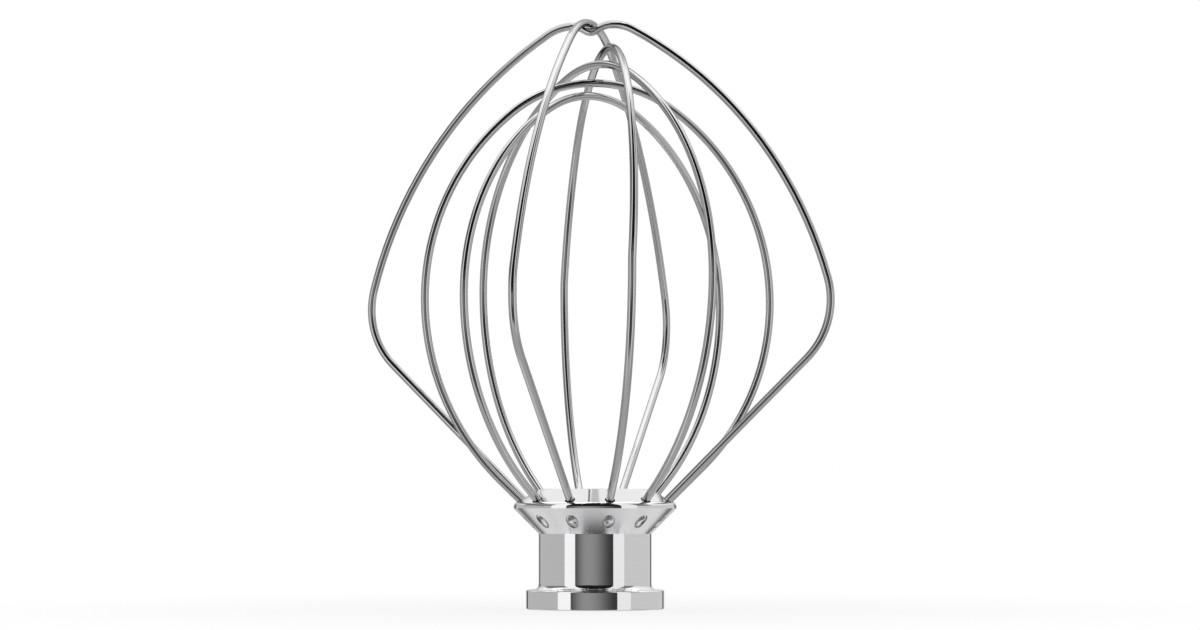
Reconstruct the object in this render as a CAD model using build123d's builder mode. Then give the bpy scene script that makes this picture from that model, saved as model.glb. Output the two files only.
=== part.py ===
from build123d import *
from math import atan2, cos, degrees, hypot, radians, sin, sqrt, tan
import os

os.makedirs("parts", exist_ok=True)

# A six-wire whisk for a stand mixer, standing on the flange of its turned hub with the wire crown up.
# The origin is the middle of the flange's lower face, +Z runs up the turning axis,
# and the notched kite lies in the XZ plane. Lengths are in millimetres, angles in degrees.

# Wire loops, named in the order in which they follow each other round the axis
wire_diameter = 2.0
total_height = 149.9
loop_order = (
    "notched_kite_wire",
    "third_round_wire",
    "low_round_wire",
    "cross_kite_wire",
    "tall_round_wire",
    "second_round_wire",
)

# Hub, turned from one bar: a flange, a neck, a cone that opens to the rim, and a slope up to the flat top
neck_diameter = 28.58
flange_overhang = 3.175
flange_height = 4.8
flange_edge_round = 0.35
neck_height = 14.15
neck_fillet = 1.5
rim_overhang = 6.35
cone_angle = 45.0
rim_band = 1.2
rim_round = 1.3
shoulder_slope = 29.0
slope_width = 6.64
top_edge_round = 0.25

# Wire holes in the slope, close inside the rim, and ring-shaped punch marks that close the cone on the wires
rim_margin = 0.54
leg_angle = 46.0
seat_depth = 8.0
hole_clearance = 0.28
end_clearance = 0.3
punch_distance = 4.65
punch_diameter = 3.2
punch_wall = 0.4
punch_depth = 0.3

# Shaft socket with its bayonet slot for the shaft's cross pin
shaft_diameter = 12.7
shaft_clearance = 0.08
socket_floor = 4.32
socket_mouth_chamfer = 0.6
drill_point_angle = 118.0
pin_diameter = 4.76
pin_clearance = 0.12
pin_height = 9.5
pin_turn = 30.0
slot_angle = 90.0

# Kite loops, which reach equally far on both sides: straight legs, a rounded shoulder,
# a gently bent side and a crown
kite_shoulder_radius = 20.2
notched_half_width = 61.6
notched_side_radius = 107.5
cross_half_width = 59.8
cross_side_radius = 137.0
cross_crown_radius = 25.0

# The lower kite dips in a notch between two humps and passes under the crossing kite
crossing_gap = 0.1
notch_depth = 1.7
notch_radius = 2.4
hump_offset = 5.4
hump_radius = 12.0

# Round loops from the tallest to the lowest: half width, sway, straight run of the legs,
# air above the crown, and radius of the crown. Bent by hand, each one reaches further out at one end,
# by its sway, than at the other, and the third one's crown also lies off the axis
tall_half_width = 45.0
tall_sway = -1.3
tall_leg_run = 4.1
tall_gap = 2.3
tall_crown_radius = 40.0
second_half_width = 44.45
second_sway = 0.85
second_leg_run = 4.5
second_gap = 2.2
second_crown_radius = 27.0
third_half_width = 44.65
third_sway = 1.05
third_leg_run = 9.5
third_gap = 2.7
third_crown_radius = 34.0
third_crown_shift = 0.55
low_half_width = 43.05
low_sway = 0.45
low_leg_run = 6.0
low_gap = 1.4
low_crown_radius = 28.5

# Two loops lean: bent sideways above their widest points, their crowns lie beside the axis
tall_lean = 3.0
cross_lean = -0.9
lean_bend_radius = 40.0

# Sizes that follow
wire_radius = wire_diameter / 2
hole_radius = wire_radius + hole_clearance
bore_radius = shaft_diameter / 2 + shaft_clearance
slot_width = pin_diameter + 2 * pin_clearance
neck_radius = neck_diameter / 2
flange_radius = neck_radius + flange_overhang
rim_radius = neck_radius + rim_overhang
top_radius = rim_radius - slope_width
slope_rise = tan(radians(shoulder_slope))
neck_top = flange_height + neck_height
cone_top = neck_top + rim_overhang / tan(radians(cone_angle))
rim_top = cone_top + rim_band
hub_top = rim_top + slope_width * slope_rise
socket_tip = hub_top - socket_floor
socket_depth = socket_tip - bore_radius / tan(radians(drill_point_angle / 2))

# A wire leg leaves its hole mouth outwards and up
leg_count = 2 * len(loop_order)
mouth_r = rim_radius - wire_radius - rim_margin
mouth_z = rim_top + (rim_radius - mouth_r) * slope_rise
leg_out = sin(radians(leg_angle))
leg_up = cos(radians(leg_angle))

# Crown heights of the wire centre lines, stacked from the top down
cross_crown = total_height - wire_radius
notch_bottom = cross_crown - wire_diameter - crossing_gap
notched_crown = notch_bottom + notch_depth
tall_crown = notch_bottom - wire_diameter - tall_gap
second_crown = tall_crown - wire_diameter - second_gap
third_crown = second_crown - wire_diameter - third_gap
low_crown = third_crown - wire_diameter - low_gap


def along_leg(distance):
    """Radius and height of the point on a leg at this distance outside the hole mouth."""
    return (mouth_r + distance * leg_out, mouth_z + distance * leg_up)


def upright_plane(angle):
    """Upright plane through the axis: local x runs outwards at the angle, local y runs up."""
    outwards = Vector(1, 0, 0).rotate(Axis.Z, angle)
    return Plane((0, 0, 0), x_dir=outwards, z_dir=outwards.cross(Vector(0, 0, 1)))


def loop_plane(name):
    """Upright plane of one of the loops, which are spread evenly."""
    return upright_plane(loop_order.index(name) * 180 / len(loop_order))


def facing_plane(upright):
    """Upright plane through the axis that faces along another one's local x, with local y up."""
    return Plane((0, 0, 0), x_dir=-upright.z_dir, z_dir=upright.x_dir)


def direction(start, end):
    """Angle of the line from one point to another."""
    return degrees(atan2(end[1] - start[1], end[0] - start[0]))


def wrapping_centre(first, first_radius, second, second_radius, radius):
    """Centre of the circle that holds two smaller circles and touches both from the inside."""
    across = second[0] - first[0]
    up = second[1] - first[1]
    span = hypot(across, up)
    first_reach = radius - first_radius
    second_reach = radius - second_radius
    along = (first_reach**2 - second_reach**2 + span**2) / (2 * span)
    aside = sqrt(first_reach**2 - along**2)
    return (
        first[0] + (along * across - aside * up) / span,
        first[1] + (along * up + aside * across) / span,
    )


# Hub: turned outline with the shaft socket, revolved about the axis
with BuildPart() as hub:
    with BuildSketch(Plane.XZ) as outline:
        with BuildLine():
            Polyline(
                (bore_radius + socket_mouth_chamfer, 0),
                (flange_radius, 0),
                (flange_radius, flange_height),
                (neck_radius, flange_height),
                (neck_radius, neck_top),
                (rim_radius, cone_top),
                (rim_radius, rim_top),
                (top_radius, hub_top),
                (0, hub_top),
                (0, socket_tip),
                (bore_radius, socket_depth),
                (bore_radius, socket_mouth_chamfer),
                close=True,
            )
        make_face()
        rounded_corners = (
            (flange_radius, 0, flange_edge_round),
            (flange_radius, flange_height, flange_edge_round),
            (neck_radius, flange_height, neck_fillet),
            (rim_radius, rim_top, rim_round),
            (top_radius, hub_top, top_edge_round),
        )
        for corner_r, corner_z, corner_round in rounded_corners:
            fillet(outline.vertices().sort_by_distance((corner_r, corner_z))[0], corner_round)
    revolve(axis=Axis.Z)

    # Wire holes, each drilled inwards along its wire's leg from just outside the slope
    drill_start = along_leg(wire_diameter)
    with Locations((0, 0, drill_start[1])):
        with PolarLocations(drill_start[0], leg_count):
            with Locations(Location((0, 0, 0), (0, leg_angle, 0))):
                Hole(hole_radius, depth=wire_diameter + seat_depth + end_clearance)

    # Ring-shaped punch marks round the cone, pressed in level, each over the buried end of a wire
    skin_in = punch_depth * cos(radians(cone_angle))
    skin_up = punch_depth * sin(radians(cone_angle))
    with BuildPart(mode=Mode.SUBTRACT):
        with Locations((0, 0, cone_top - punch_distance * cos(radians(cone_angle)))):
            with PolarLocations(rim_radius, leg_count):
                Cylinder(punch_diameter / 2, rim_radius, rotation=(0, 90, 0))
                Cylinder(punch_diameter / 2 - punch_wall, rim_radius, rotation=(0, 90, 0), mode=Mode.SUBTRACT)
        with BuildSketch(Plane.XZ):
            with BuildLine():
                Polyline(
                    (neck_radius, neck_top),
                    (rim_radius, cone_top),
                    (rim_radius - skin_in, cone_top + skin_up),
                    (neck_radius - skin_in, neck_top + skin_up),
                    close=True,
                )
            make_face()
        revolve(axis=Axis.Z, mode=Mode.INTERSECT)

    # Bayonet slot: the cross pin goes up the entry and turns along the run
    slot_start = upright_plane(slot_angle)
    slot_end = upright_plane(slot_angle + pin_turn)
    with BuildSketch(facing_plane(slot_start)):
        Rectangle(slot_width, pin_height, align=(Align.CENTER, Align.MIN))
        with Locations((0, pin_height)):
            Circle(slot_width / 2)
    with BuildSketch(facing_plane(slot_end)):
        with Locations((0, pin_height)):
            Circle(slot_width / 2)
    extrude(amount=2 * flange_radius, mode=Mode.SUBTRACT)
    with BuildSketch(slot_start):
        with Locations((0, pin_height)):
            Rectangle(2 * flange_radius, slot_width, align=(Align.MIN, Align.CENTER))
    revolve(axis=Axis.Z, revolution_arc=pin_turn, mode=Mode.SUBTRACT)
hub.part.label = "hub"
export_step(hub.part, "parts/hub.step")


def widest_height(half_width, lower_radius):
    """Height at which a leg stands upright when an arc of this radius bends it at this half width."""
    run = (half_width - mouth_r - lower_radius * (1 - leg_up)) / leg_out
    return along_leg(run)[1] + lower_radius * leg_out


def lean_kink(lean):
    """Length from either end of the bend aside to the corner that it rounds off."""
    return lean_bend_radius * tan(radians(abs(lean)) / 2)


def wire_loop(label, half_width, widest, crown, crown_radius, add_arch, sway=0.0, crown_shift=0.0, lean=0.0):
    """Loop of two halves: a straight leg, an arc that bends it upright, a bend aside, and half an arch."""
    upright = loop_plane(label)
    kink = lean_kink(lean)
    up = Vector(0, 0, cos(radians(lean))) + upright.z_dir * sin(radians(lean))
    arch_foot = Vector(0, 0, widest + kink) + up * kink
    rise = (crown - arch_foot.Z) / up.Z

    with BuildPart() as wire:
        with BuildLine() as path:
            for side in (1, -1):
                outwards = upright.x_dir * side
                half_plane = Plane((0, 0, 0), x_dir=outwards, z_dir=outwards.cross(Vector(0, 0, 1)))
                arch_plane = Plane(arch_foot, x_dir=outwards, z_dir=outwards.cross(up))
                reach = half_width + side * sway
                lower_radius = ((widest - mouth_z) * leg_out - (reach - mouth_r) * leg_up) / (1 - leg_up)
                leg_end = (reach - lower_radius * (1 - leg_up), widest - lower_radius * leg_out)
                with BuildLine(half_plane):
                    Line(along_leg(-seat_depth), leg_end)
                    CenterArc((reach - lower_radius, widest), lower_radius, -leg_angle, leg_angle)
                if lean:
                    bend_start = half_plane.from_local_coords((reach, widest, 0))
                    bend_end = arch_plane.from_local_coords((reach, 0, 0))
                    TangentArc(bend_start, bend_end, tangent=(0, 0, 1))
                with BuildLine(arch_plane):
                    add_arch(reach, lower_radius, side * crown_shift, rise, crown_radius)
        with BuildSketch(Plane(path.line @ 0, z_dir=path.line % 0)):
            Circle(wire_radius)
        sweep()
    wire.part.label = label
    export_step(wire.part, "parts/" + label + ".step")


def kite_side(reach, shoulder_radius, crown_centre, crown_radius, side_radius):
    """Arcs of a kite from its widest point to the top of its crown: shoulder, side and crown."""
    shoulder_centre = (reach - shoulder_radius, 0)
    side_centre = wrapping_centre(shoulder_centre, shoulder_radius, crown_centre, crown_radius, side_radius)
    side_start = direction(side_centre, shoulder_centre)
    side_end = direction(side_centre, crown_centre)
    CenterArc(shoulder_centre, shoulder_radius, 0, side_start)
    CenterArc(side_centre, side_radius, side_start, side_end - side_start)
    CenterArc(crown_centre, crown_radius, side_end, 90 - side_end)


# Crossing kite: its crown passes over all the others
def cross_arch(reach, shoulder_radius, middle, rise, crown_radius):
    kite_side(reach, shoulder_radius, (middle, rise - crown_radius), crown_radius, cross_side_radius)


cross_widest = widest_height(cross_half_width, kite_shoulder_radius)
wire_loop(
    "cross_kite_wire",
    cross_half_width,
    cross_widest,
    cross_crown,
    cross_crown_radius,
    cross_arch,
    lean=cross_lean,
)

# Notched kite: the notch lies under the crossing kite's crown, off the axis by that kite's lean
notch_shift = (cross_crown - cross_widest - lean_kink(cross_lean)) * tan(radians(cross_lean))


def notched_arch(reach, shoulder_radius, middle, rise, crown_radius):
    hump_x = middle + hump_offset
    kite_side(reach, shoulder_radius, (hump_x, rise - crown_radius), crown_radius, notched_side_radius)
    inner_radius = (hump_offset**2 + notch_depth**2) / (2 * notch_depth) - notch_radius
    inner_centre = (hump_x, rise - inner_radius)
    notch_centre = (middle, rise - notch_depth + notch_radius)
    notch_start = direction(inner_centre, notch_centre)
    CenterArc(inner_centre, inner_radius, 90, notch_start - 90)
    CenterArc(notch_centre, notch_radius, notch_start - 180, 90 - notch_start)


wire_loop(
    "notched_kite_wire",
    notched_half_width,
    widest_height(notched_half_width, kite_shoulder_radius),
    notched_crown,
    hump_radius,
    notched_arch,
    crown_shift=notch_shift,
)


# Round loops: on each side an arc up from the widest point, and a crown of one radius.
# Where a loop rises less than it reaches, that radius bends its side and the crown is the flatter arc
def round_arch(reach, lower_radius, middle, rise, crown_radius):
    span = reach - middle
    side_radius = crown_radius
    if rise > span:
        side_radius = (span**2 + rise**2 - 2 * rise * crown_radius) / (2 * (span - crown_radius))
    else:
        crown_radius = (span**2 + rise**2 - 2 * span * side_radius) / (2 * (rise - side_radius))
    side_centre = (reach - side_radius, 0)
    crown_centre = (middle, rise - crown_radius)
    crown_start = degrees(atan2(abs(rise - crown_radius), abs(span - side_radius)))
    CenterArc(side_centre, side_radius, 0, crown_start)
    CenterArc(crown_centre, crown_radius, crown_start, 90 - crown_start)


def round_wire(label, half_width, sway, leg_run, crown, crown_radius, crown_shift=0.0, lean=0.0):
    """Round loop, with its widest point where the arc that follows the straight legs stands upright."""
    lower_radius = (half_width - along_leg(leg_run)[0]) / (1 - leg_up)
    widest = widest_height(half_width, lower_radius)
    wire_loop(label, half_width, widest, crown, crown_radius, round_arch, sway, crown_shift, lean)


round_wire(
    "tall_round_wire",
    tall_half_width,
    tall_sway,
    tall_leg_run,
    tall_crown,
    tall_crown_radius,
    lean=tall_lean,
)
round_wire(
    "second_round_wire",
    second_half_width,
    second_sway,
    second_leg_run,
    second_crown,
    second_crown_radius,
)
round_wire(
    "third_round_wire",
    third_half_width,
    third_sway,
    third_leg_run,
    third_crown,
    third_crown_radius,
    third_crown_shift,
)
round_wire(
    "low_round_wire",
    low_half_width,
    low_sway,
    low_leg_run,
    low_crown,
    low_crown_radius,
)
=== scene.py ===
import bpy
import math
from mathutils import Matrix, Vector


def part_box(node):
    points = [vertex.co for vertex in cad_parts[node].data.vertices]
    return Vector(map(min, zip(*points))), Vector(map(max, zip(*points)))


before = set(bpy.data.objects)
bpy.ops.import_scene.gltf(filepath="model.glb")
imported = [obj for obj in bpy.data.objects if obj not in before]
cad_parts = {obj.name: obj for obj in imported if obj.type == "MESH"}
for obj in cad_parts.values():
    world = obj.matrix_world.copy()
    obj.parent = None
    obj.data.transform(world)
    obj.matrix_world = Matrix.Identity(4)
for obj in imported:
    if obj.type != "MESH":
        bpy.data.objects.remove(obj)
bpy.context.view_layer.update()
print("frame loaded:", len(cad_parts), "nodes")


class Val:  # one shader value: a socket that takes part in Python expressions
    def __init__(self, tree, socket):
        self.tree = tree
        self.socket = socket

    def math(self, operation, *others, swap=False):
        values = [self, *others]
        if swap:
            values.reverse()
        return self.tree.make("ShaderNodeMath", {"operation": operation}, dict(enumerate(values)))

    def __add__(self, other):
        return self.math("ADD", other)

    def __radd__(self, other):
        return self.math("ADD", other)

    def __sub__(self, other):
        return self.math("SUBTRACT", other)

    def __rsub__(self, other):
        return self.math("SUBTRACT", other, swap=True)

    def __mul__(self, other):
        return self.math("MULTIPLY", other)

    def __rmul__(self, other):
        return self.math("MULTIPLY", other)

    def __truediv__(self, other):
        return self.math("DIVIDE", other)

    def __rtruediv__(self, other):
        return self.math("DIVIDE", other, swap=True)

    def __neg__(self):
        return self.math("MULTIPLY", -1.0)

    def __abs__(self):
        return self.math("ABSOLUTE")


class Tree:  # a node tree that is filled by code
    def __init__(self, nodeTree):
        self.nodeTree = nodeTree
        nodeTree.nodes.clear()

    def make(self, kind, settings=None, sockets=None, output=0):
        node = self.nodeTree.nodes.new(kind)
        for key, value in (settings or {}).items():
            setattr(node, key, value)
        for key, value in (sockets or {}).items():
            if isinstance(value, Val):
                self.nodeTree.links.new(value.socket, node.inputs[key])
            else:
                node.inputs[key].default_value = value
        return Val(self, node.outputs[output]) if len(node.outputs) else None

    def rise(self, value, low, high):  # 0 below low, 1 above high, smooth between
        return self.make("ShaderNodeMapRange", {"interpolation_type": "SMOOTHSTEP"},
                         {"Value": value, "From Min": low, "From Max": high})

    def between(self, value, low, high, edge):  # 1 from low to high, with soft ends
        return self.rise(value, low - edge, low + edge) * (1 - self.rise(value, high - edge, high + edge))

    def fade(self, share, first, second):  # mix of two numbers
        return first + share * (second - first)

    def blend(self, share, first, second):  # mix of two colours
        return self.make("ShaderNodeMix", {"data_type": "RGBA"},
                         {"Factor": share, 6: first, 7: second}, output=2)

    def place(self):  # x, y and z on the object, in metres
        spot = self.make("ShaderNodeTexCoord", output=3)
        return [self.make("ShaderNodeSeparateXYZ", sockets={0: spot}, output=axis) for axis in range(3)]

    def streaks(self, x, y, z, detail):  # noise around 0.5, drawn out where a factor is small
        drawn = self.make("ShaderNodeCombineXYZ", sockets={0: x, 1: y, 2: z})
        return self.make("ShaderNodeTexNoise", sockets={"Vector": drawn, "Scale": 1.0, "Detail": detail})

    def relief(self, height):  # bump from a height in mm
        return self.make("ShaderNodeBump", sockets={"Strength": 1.0, "Distance": 0.001, "Height": height})


def newMaterial(name):
    material = bpy.data.materials.new(name)
    material.use_nodes = True
    return material, Tree(material.node_tree)


# camera: where the photograph was taken from

cameraSet = {
    "azimuth": -71.0,  # degrees from +X to the camera, seen from above
    "distance": 0.760,
    "height": 0.0237,
    "lens": 90.0,
    "sensor": 36.0,
    "clipStart": 0.01,
    "pitch": 3.81,
    "yaw": -0.092,
}


def placeCamera(s):
    data = bpy.data.cameras.new("photoCamera")
    camera = bpy.data.objects.new("photoCamera", data)
    bpy.context.scene.collection.objects.link(camera)
    data.sensor_width = s["sensor"]
    data.lens = s["lens"]
    data.clip_start = s["clipStart"]
    towards = math.radians(s["azimuth"])
    camera.location = (s["distance"] * math.cos(towards), s["distance"] * math.sin(towards), s["height"])
    turn = math.radians(s["azimuth"] + 90 + s["yaw"])
    camera.rotation_euler = (math.radians(90 + s["pitch"]), 0, turn)  # 90 looks level
    bpy.context.scene.camera = camera


placeCamera(cameraSet)
print("camera placed")


# studio: a pale room with a dark camera side, as polished metal shows it
# turn is in degrees to the right of the camera, lift in degrees above level, drop below it
# an edge is how far a sector's ends are softened, in turn and in lift

studioSet = {
    "sideBlend": 5.0,  # where left becomes right, in front and behind
    "walls": (0.53, 0.665),  # left and right
    "wallLift": (8.0, 30.0),  # the walls turn whiter above
    "backWhite": 0.98,
    "table": 0.80,
    "tableDrop": (8.0, 40.0),
    "shade": (62.0, 127.0),  # dark curtains high on the side walls
    "shadeEnd": 88.0,  # the right one ends earlier
    "shadeLift": 13.0,
    "shadeTop": (38.0, 54.0),  # left and right
    "shadeEdge": (3.0, 5.0),
    "shadeGrey": 0.20,
    "lowShade": (58.0, 116.0),  # greyer ones below
    "lowShadeLift": (-55.0, -12.0),
    "lowShadeEdge": (4.0, 5.0),
    "lowShadeGrey": 0.40,
    "rearBoxes": (98.0, 156.0),  # softboxes high up behind, one on each side
    "rearLift": (42.0, 68.0),
    "rearEdge": (5.0, 5.0),
    "rearWhite": 1.55,
    "flag": (151.0, 160.0),  # dark strips behind the whisk, low on both sides
    "flagLift": (-32.0, 10.0),
    "flagEdge": (1.5, 4.0),
    "flagGrey": 0.05,
    "seam": (176.5, 178.0),  # grey seam of the backdrop
    "seamLift": (48.0, 66.0),
    "seamEdge": 3.0,
    "seamGrey": 0.60,
    "boxes": (-64.7, 61.3),  # outer ends of the two softboxes beside the dark side
    "boxDrop": (30.0, 60.0),
    "boxWhite": (1.08, 0.955),  # left and right
    "front": (-41.2, 37.1),  # the dark side where the camera stands
    "frontDrop": (24.0, 44.0),
    "frontRise": (-48.0, -17.0),  # its grey comes up on the left and fades to the right
    "frontFall": (-12.0, 36.0),
    "frontGrey": 0.302,
    "frontRim": 0.045,
    "frontEdge": 0.5,  # of the softboxes too
    "black": 0.012,  # above the grey, and below it
    "lowBlack": 0.08,
    "blackLift": (3.0, 14.0),
    "overWhite": 1.75,  # softbox overhead
    "overLift": (64.0, 76.0),
    "overFront": (-26.0, 62.0),  # the sector in which it starts higher
    "overEdge": 6.0,
    "overShift": 16.0,
    "underTurn": (88.0, 104.0),  # darker table on the camera's side
    "underDrop": (24.0, 40.0),
    "underGrey": 0.56,
}


def lightStudio(s):
    world = bpy.data.worlds.new("studio")
    bpy.context.scene.world = world
    world.use_nodes = True
    tree = Tree(world.node_tree)
    direction = tree.make("ShaderNodeTexCoord", output=0)
    facing = math.radians(cameraSet["azimuth"])
    towards = tree.make("ShaderNodeVectorMath", {"operation": "DOT_PRODUCT"},
                        {0: direction, 1: (math.cos(facing), math.sin(facing), 0)}, output=1)
    right = tree.make("ShaderNodeVectorMath", {"operation": "DOT_PRODUCT"},
                      {0: direction, 1: (-math.sin(facing), math.cos(facing), 0)}, output=1)
    up = tree.make("ShaderNodeSeparateXYZ", sockets={0: direction}, output=2)
    degrees = 180 / math.pi
    turn = right.math("ARCTAN2", towards) * degrees
    lift = up.math("ARCSINE") * degrees
    side = tree.rise(turn, -s["sideBlend"], s["sideBlend"])  # 0 on the left, 1 on the right

    def sector(turns, lifts, edges):  # alike on both sides of the camera
        return tree.between(abs(turn), *turns, edges[0]) * tree.between(lift, *lifts, edges[1])

    # room
    level = tree.fade(tree.rise(lift, *s["wallLift"]), tree.fade(side, *s["walls"]), s["backWhite"])
    level = tree.fade(tree.rise(-lift, *s["tableDrop"]), level, s["table"])
    shadeEnd = tree.fade(side, s["shade"][1], s["shadeEnd"])
    shadeTop = tree.fade(side, *s["shadeTop"])
    shade = sector((s["shade"][0], shadeEnd), (s["shadeLift"], shadeTop), s["shadeEdge"])
    level = tree.fade(shade, level, s["shadeGrey"])
    lowShade = sector(s["lowShade"], s["lowShadeLift"], s["lowShadeEdge"])
    level = tree.fade(lowShade, level, s["lowShadeGrey"])

    # behind the whisk
    rear = sector(s["rearBoxes"], s["rearLift"], s["rearEdge"])
    level = tree.fade(rear, level, s["rearWhite"])
    flag = sector(s["flag"], s["flagLift"], s["flagEdge"])
    level = tree.fade(flag, level, s["flagGrey"])
    seam = tree.rise(abs(turn), *s["seam"]) * tree.between(lift, *s["seamLift"], s["seamEdge"])
    level = tree.fade(seam, level, s["seamGrey"])

    # the camera's side
    boxes = tree.between(turn, *s["boxes"], s["frontEdge"]) * (1 - tree.rise(-lift, *s["boxDrop"]))
    level = tree.fade(boxes, level, tree.fade(side, *s["boxWhite"]))
    grey = tree.rise(turn, *s["frontRise"]) * (1 - tree.rise(turn, *s["frontFall"]))
    dark = tree.fade(grey, s["frontRim"], s["frontGrey"])
    dark = tree.fade(tree.rise(lift, *s["blackLift"]), dark, s["black"])
    dark = tree.fade(tree.rise(-lift, *s["blackLift"]), dark, s["lowBlack"])
    front = tree.between(turn, *s["front"], s["frontEdge"]) * (1 - tree.rise(-lift, *s["frontDrop"]))
    level = tree.fade(front, level, dark)

    # overhead and underneath
    higher = tree.between(turn, *s["overFront"], s["overEdge"]) * s["overShift"]
    over = tree.rise(lift, s["overLift"][0] + higher, s["overLift"][1] + higher)
    level = tree.fade(over, level, s["overWhite"])
    under = (1 - tree.rise(abs(turn), *s["underTurn"])) * tree.rise(-lift, *s["underDrop"])
    level = tree.fade(under, level, s["underGrey"])

    seen = tree.make("ShaderNodeLightPath", output=0)  # 1 for what the camera itself sees
    level = tree.fade(seen, level, 1.0)  # plain white behind the whisk
    background = tree.make("ShaderNodeBackground", sockets={"Color": level, "Strength": 1.0})
    tree.make("ShaderNodeOutputWorld", sockets={"Surface": background})


lightStudio(studioSet)
print("studio lit")


# floor: plain white, keeps the shadow near the whisk

floorSet = {
    "radius": 0.42,
    "sides": 128,
    "colour": (0.86, 0.86, 0.86, 1.0),
    "white": (1.0, 1.0, 1.0, 1.0),
    "whiteShare": 0.82,  # beside the hub, the rest is the shaded floor
    "whiteReach": (0.03, 0.20),  # distances over which it becomes all white
    "underHub": (0.0164, 0.0174),  # below the flange, seen through the slot, all is shaded
}


def layFloor(s):
    bpy.ops.mesh.primitive_circle_add(vertices=s["sides"], radius=s["radius"], fill_type="NGON")
    floor = bpy.context.object
    floor.name = "floor"
    material, tree = newMaterial("paleFloor")
    spot = tree.make("ShaderNodeTexCoord", output=3)
    away = tree.make("ShaderNodeVectorMath", {"operation": "LENGTH"}, {0: spot}, output=1)
    plain = tree.fade(tree.rise(away, *s["whiteReach"]), s["whiteShare"], 1.0)
    plain = plain * tree.rise(away, *s["underHub"])
    seen = tree.make("ShaderNodeLightPath", output=0)
    matt = tree.make("ShaderNodeBsdfDiffuse", sockets={"Color": s["colour"]})
    white = tree.make("ShaderNodeEmission", sockets={"Color": s["white"], "Strength": 1.0})
    mixed = tree.make("ShaderNodeMixShader", sockets={0: seen * plain, 1: matt, 2: white})
    tree.make("ShaderNodeOutputMaterial", sockets={"Surface": mixed})
    floor.data.materials.append(material)
    floor.visible_glossy = False  # the metal shows the studio's table instead


layFloor(floorSet)
print("floor laid")


# hub: turned on a lathe, polished except for the satin cone and the faced top, with painted shade in the
# punch marks

hubFinish = {
    "bright": (0.87, 0.87, 0.88, 1.0),
    "dull": (0.79, 0.79, 0.80, 1.0),
    # colour of the painted shade in the punch marks
    "paintedShade": (0.20, 0.20, 0.20, 1.0),
    "polish": 0.05,
    "satin": 0.19,
    "cone": (0.0188, 0.0191, 0.0251, 0.0255),  # heights between which the cone is satin
    "faced": 0.42,  # the flat top, faced off and not polished
    "facedDepth": (0.0002, 0.00005),
    "roughSpread": 0.05,
    "stretch": 0.8,  # gloss spreads across the turning lines
    "stretchTurn": 0.25,
    "lines": 3600.0,  # turning lines, cells a metre
    "lineRun": 45.0,
    "lineDetail": 2.0,
    "lineDepth": 0.0003,  # mm
    "markCount": 12,  # ring-shaped punch marks
    "markHeight": 0.02201,
    "markInner": 0.00120,
    "markInnerEdge": 0.00008,
    "markOuter": 0.00160,
    "markOuterEdge": 0.00012,
    "markRadius": (0.0146, 0.0148),  # no marks further in, as on the socket's wall
    "markDome": 0.40,  # mm
    "markPolish": 0.12,
    # painted shade in the ring groove of each mark
    "grooveShade": 0.15,
    "upperShade": (0.0001, 0.0006),  # painted shade on the upper part of a mark, heights above its middle
    "upperShadeSlope": 0.4,
    "upperShadeBreak": 0.0008,  # how far the turning lines break up its edge
    "upperShadeStrength": 0.9,
}


def turnedHub(s):
    material, tree = newMaterial("turnedHub")
    x, y, z = tree.place()
    radius = (x * x + y * y).math("SQRT")
    low, lowEnd, high, highEnd = s["cone"]
    cone = tree.rise(z, low, lowEnd) * (1 - tree.rise(z, high, highEnd))
    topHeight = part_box("hub")[1].z
    faced = tree.rise(z, topHeight - s["facedDepth"][0], topHeight - s["facedDepth"][1])

    # turning lines follow the outline, so they count height and radius together
    run = s["lineRun"]
    lines = tree.streaks(x * run, y * run, (z + radius) * s["lines"], s["lineDetail"])

    # distance from the middle of the nearest punch mark, which is round as seen level
    step = 2 * math.pi / s["markCount"]
    around = y.math("ARCTAN2", x) / step + 0.5
    aside = radius * ((around.math("FRACT") - 0.5) * step).math("SINE")
    above = z - s["markHeight"]
    away = (aside * aside + above * above).math("SQRT")
    onCone = tree.rise(radius, *s["markRadius"])
    core = (1 - tree.rise(away, s["markInner"] - s["markInnerEdge"], s["markInner"])) * onCone
    disc = (1 - tree.rise(away, s["markOuter"], s["markOuter"] + s["markOuterEdge"])) * onCone
    groove = disc - core
    share = away / s["markInner"]
    dome = core * (1 - share * share)
    # painted shade on the upper part of each mark, its edge broken up by the turning lines
    patch = above - aside * s["upperShadeSlope"] + (lines - 0.5) * s["upperShadeBreak"]
    upperShade = tree.rise(patch, *s["upperShade"]) * core

    colour = tree.blend(lines, s["dull"], s["bright"])
    # painted shade: the ring groove and the upper part of each mark are darkened
    colour = tree.blend(groove * s["grooveShade"] + upperShade * s["upperShadeStrength"], colour, s["paintedShade"])
    rough = tree.fade(cone, s["polish"], s["satin"]) + (lines - 0.5) * s["roughSpread"]
    rough = rough + faced * (s["faced"] - s["polish"])
    rough = tree.fade(core, rough, s["markPolish"])
    bump = tree.relief(lines * s["lineDepth"] + dome * s["markDome"])
    surface = tree.make("ShaderNodeBsdfPrincipled", sockets={
        "Base Color": colour, "Metallic": 1.0, "Roughness": rough, "Normal": bump,
        "Anisotropic": s["stretch"], "Anisotropic Rotation": s["stretchTurn"]})
    tree.make("ShaderNodeOutputMaterial", sockets={"Surface": surface})
    return material


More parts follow.
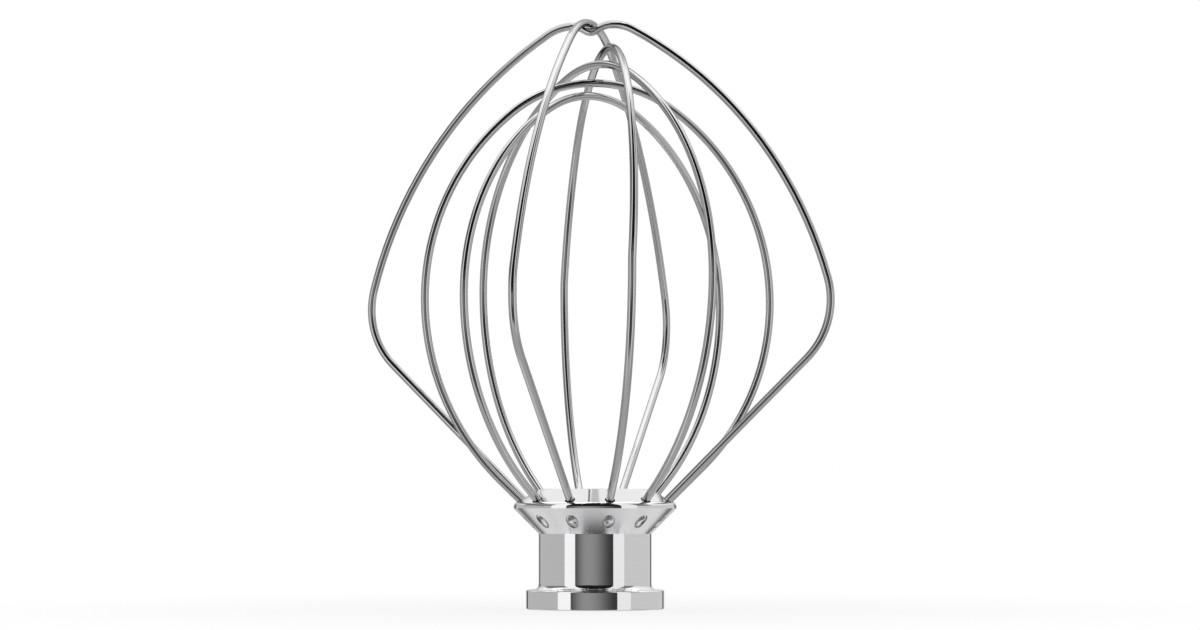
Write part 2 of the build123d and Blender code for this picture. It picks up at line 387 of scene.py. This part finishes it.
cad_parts["hub"].material_slots[0].material = turnedHub(hubFinish)
print("hub finished")


# wires: bright drawn steel, with faint lines along each loop and painted shade where they are seen
# edge-on

wireFinish = {
    "bright": (0.63, 0.63, 0.635, 1.0),
    "dull": (0.51, 0.51, 0.515, 1.0),
    "edgeShade": (0.55, 0.55, 0.55, 1.0),  # painted shade: the reflection is darkened where the wire is seen edge-on
    "rough": 0.06,
    "roughSpread": 0.05,
    "lines": 4800.0,  # drawing lines, cells a metre across the wire
    "lineRun": 40.0,
    "lineDetail": 2.0,
    "lineDepth": 0.0008,  # mm
}
loops = {  # turn about the axis, lean and the height where the lean begins
    "notched_kite_wire": (0.0, 0.0, 0.0),
    "third_round_wire": (30.0, 0.0, 0.0),
    "low_round_wire": (60.0, 0.0, 0.0),
    "cross_kite_wire": (90.0, -0.9, 0.0752),
    "tall_round_wire": (120.0, 3.0, 0.0843),
    "second_round_wire": (150.0, 0.0, 0.0),
}


def drawnWire(name, turn, lean, start, s):
    material, tree = newMaterial("drawn_" + name)
    x, y, z = tree.place()
    cosTurn = math.cos(math.radians(turn))
    sinTurn = math.sin(math.radians(turn))
    reach = x * cosTurn + y * sinTurn
    across = y * cosTurn - x * sinTurn  # out of the loop's plane
    if lean:
        across = across + (z - start).math("MAXIMUM", 0.0) * math.tan(math.radians(lean))
    run = s["lineRun"]
    lines = tree.streaks(across * s["lines"], reach * run, z * run, s["lineDetail"])
    colour = tree.blend(lines, s["dull"], s["bright"])
    rough = s["rough"] + (lines - 0.5) * s["roughSpread"]
    bump = tree.relief(lines * s["lineDepth"])
    # the specular tint paints shade along the wire's edges
    surface = tree.make("ShaderNodeBsdfPrincipled", sockets={
        "Base Color": colour, "Metallic": 1.0, "Roughness": rough, "Normal": bump,
        "Specular Tint": s["edgeShade"]})
    tree.make("ShaderNodeOutputMaterial", sockets={"Surface": surface})
    return material


for name, (turn, lean, start) in loops.items():
    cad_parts[name].material_slots[0].material = drawnWire(name, turn, lean, start, wireFinish)
print("wires finished")


bpy.context.scene.view_settings.view_transform = "Standard"
